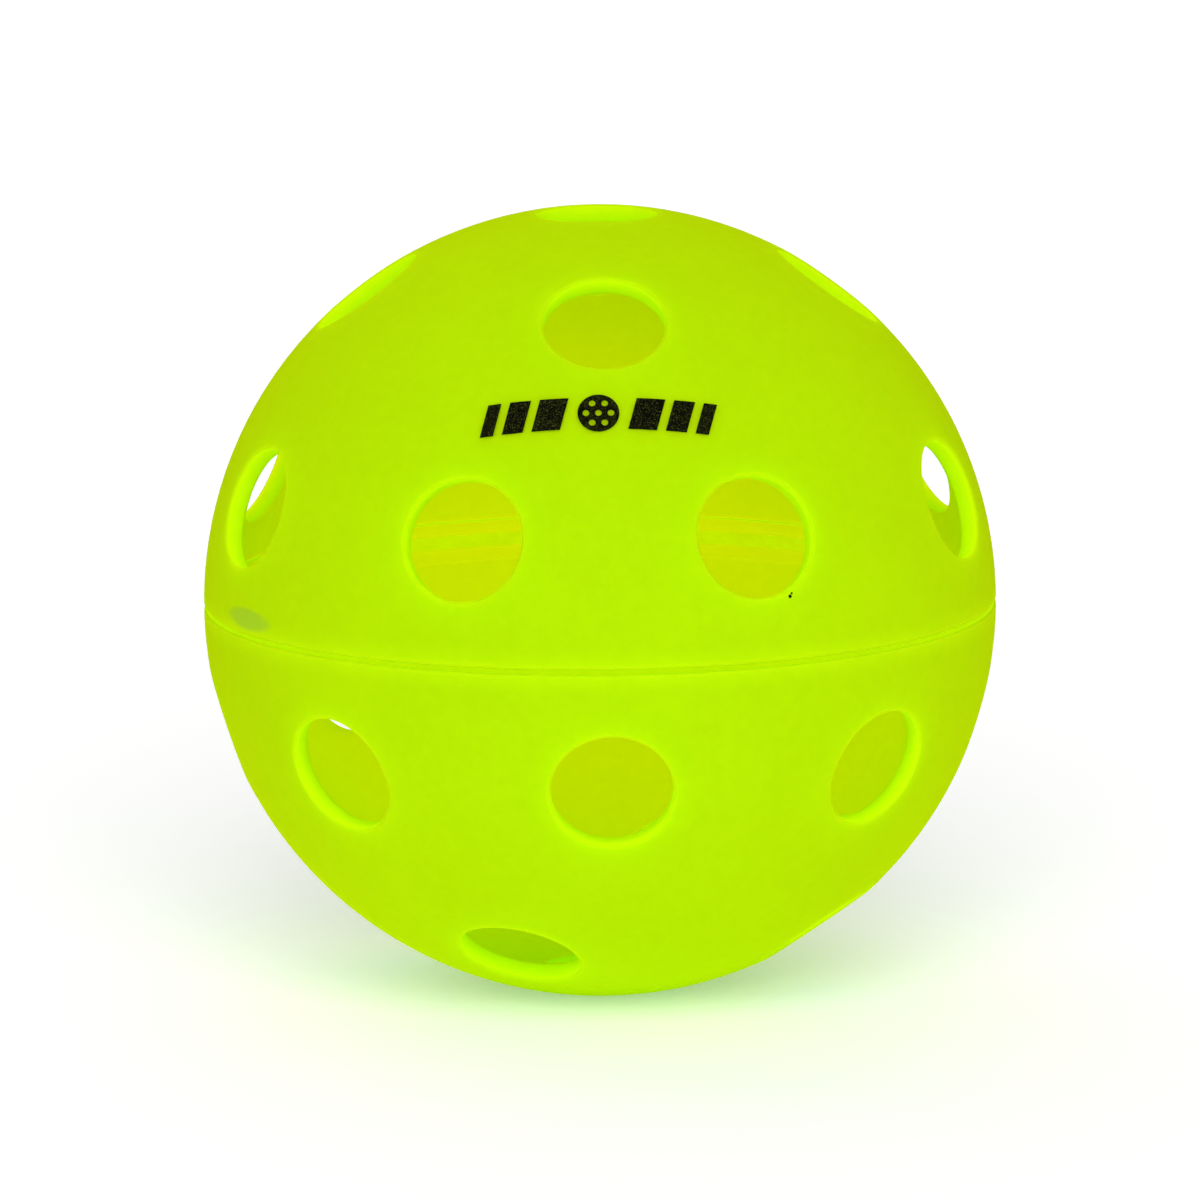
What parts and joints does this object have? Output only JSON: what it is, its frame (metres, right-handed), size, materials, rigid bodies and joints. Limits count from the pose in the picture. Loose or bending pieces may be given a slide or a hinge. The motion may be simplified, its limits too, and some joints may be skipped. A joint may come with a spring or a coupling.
{
  "type": "pickleball ball",
  "caption": "Hollow perforated pickleball ball in translucent lime plastic: welded half shells, round holes with rounded edges and a small printed mark.",
  "frame": {"origin": "centre of the ball", "axes": "+Z through the pole hole of the upper half, square to the welded joint; -Y faces the side with the printed mark"},
  "size_m": [0.074, 0.074, 0.073],
  "materials": {
    "shell": "translucent lime polyethylene, smooth satin as moulded",
    "weld": "translucent lime polyethylene, slightly rough where it was melted",
    "ink": "black pad-printed ink with fine pinholes"
  },
  "bodies": {
    "root": {"upper_half": "shell", "lower_half": "shell", "inner_weld_bead": "weld", "outer_weld_line": "weld", "printed_mark": "ink"}
  },
  "joints": []
}
